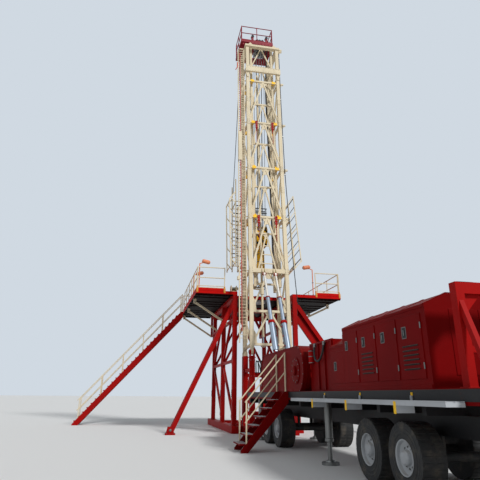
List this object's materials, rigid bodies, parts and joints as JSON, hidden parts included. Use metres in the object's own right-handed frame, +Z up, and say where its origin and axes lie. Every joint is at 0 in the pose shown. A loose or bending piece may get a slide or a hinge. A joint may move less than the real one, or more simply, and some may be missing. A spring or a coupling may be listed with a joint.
{
  "type": "mobile oil drilling rig",
  "caption": "Carrier-mounted oil drilling rig: telescoping lattice mast with hoisting block, raised rig floor on a braced tower, stairs and hooded deck.",
  "frame": {"origin": "on the ground, on the underside of the ground skid's beam below the middle of the mast hinge", "axes": "+Z up; +Y from the carrier to the rig floor; +X across, to the right as seen from the carrier"},
  "size_m": [14.348, 23.9, 21.9488],
  "materials": {
    "red_paint": "gloss red paint, dusty",
    "dark_red_paint": "dark red paint, weathered",
    "cream_paint": "cream paint, rust streaks",
    "yellow_paint": "yellow paint, greasy",
    "black_paint": "black paint",
    "grey_paint": "light grey paint",
    "steel": "oiled steel",
    "chrome": "hard chrome",
    "tyre": "tyre rubber",
    "orange_paint": "orange paint"
  },
  "bodies": {
    "root": {"chassis": "black_paint", "deck": "dark_red_paint", "wheels": "tyre", "jacks": "steel", "side_walkway": "grey_paint", "mast_stand": "red_paint", "cylinder_base": "red_paint", "mast_rest": "red_paint", "drawworks_housing": "dark_red_paint", "power_pack": "red_paint", "gearbox_hood": "dark_red_paint", "engine_hood": "dark_red_paint", "deck_stair": "dark_red_paint", "deck_stair_rails": "cream_paint", "ground_skids": "red_paint", "tower_left": "red_paint", "tower_right": "red_paint", "tower_ties": "red_paint", "raker_left": "red_paint", "raker_right": "red_paint", "floor_center": "red_paint", "wing_left": "red_paint", "wing_right": "red_paint", "wing_struts": "cream_paint", "floor_rails_left": "cream_paint", "floor_rails_right": "cream_paint", "floor_stair": "red_paint", "floor_stair_rails": "cream_paint", "floor_lamps": "orange_paint", "tugger_winch": "cream_paint", "rotary_table": "grey_paint"},
    "mast": {"mast_back": "cream_paint", "mast_left_side": "cream_paint", "mast_right_side": "cream_paint", "mast_box_beams": "cream_paint", "mast_top_frame": "cream_paint", "mast_ladder": "cream_paint", "mast_latches": "red_paint", "mast_guides": "yellow_paint", "racking_board_left": "cream_paint", "racking_board_right": "cream_paint", "scoping_rod": "chrome"},
    "upper_mast": {"upper_back": "cream_paint", "upper_left_side": "cream_paint", "upper_right_side": "cream_paint", "crown_frame": "dark_red_paint", "crown_rails": "dark_red_paint", "scoping_barrel": "cream_paint", "drilling_lines": "steel"},
    "sheaves": {"crown_sheaves": "grey_paint"},
    "block": {"travelling_block": "yellow_paint", "hook": "yellow_paint"},
    "barrels": {"raise_barrels": "chrome"},
    "stages": {"raise_stages": "chrome"},
    "rods": {"raise_rods": "chrome"}
  },
  "joints": [
    {"name": "mast_tilt", "type": "hinge", "parent": "root", "child": "mast", "pos_m": [0, 0, 3.3], "axis": [1, 0, 0], "range_deg": [0, 93.5]},
    {"name": "mast_extend", "type": "slide", "parent": "mast", "child": "upper_mast", "axis": [0, 0.061, 0.9981], "range_m": [0, 12]},
    {"name": "block_hoist", "type": "slide", "parent": "upper_mast", "child": "block", "axis": [0, 0, 1], "range_m": [0, 8.5], "deforming": ["drilling_lines"]},
    {"name": "crown_spin", "type": "hinge", "parent": "upper_mast", "child": "sheaves", "pos_m": [0, 1.79139, 20.71312], "axis": [1, 0, 0], "continuous": true},
    {"name": "barrel_tilt", "type": "hinge", "parent": "root", "child": "barrels", "pos_m": [0, -1.78, 3.12], "axis": [1, 0, 0], "range_deg": [0, 116.63]},
    {"name": "stage_slide", "type": "slide", "parent": "barrels", "child": "stages", "axis": [0, 0.4377, 0.8991], "range_m": [-1.19, 0]},
    {"name": "rod_slide", "type": "slide", "parent": "stages", "child": "rods", "axis": [0, 0.4377, 0.8991], "range_m": [-1.19, 0]}
  ],
  "couplings": [
    {"joint": "barrel_tilt", "follows": "mast_tilt", "ratio": 1.2473},
    {"joint": "stage_slide", "follows": "mast_tilt", "m_per_rad": -0.72892},
    {"joint": "rod_slide", "follows": "mast_tilt", "m_per_rad": -0.72892}
  ]
}
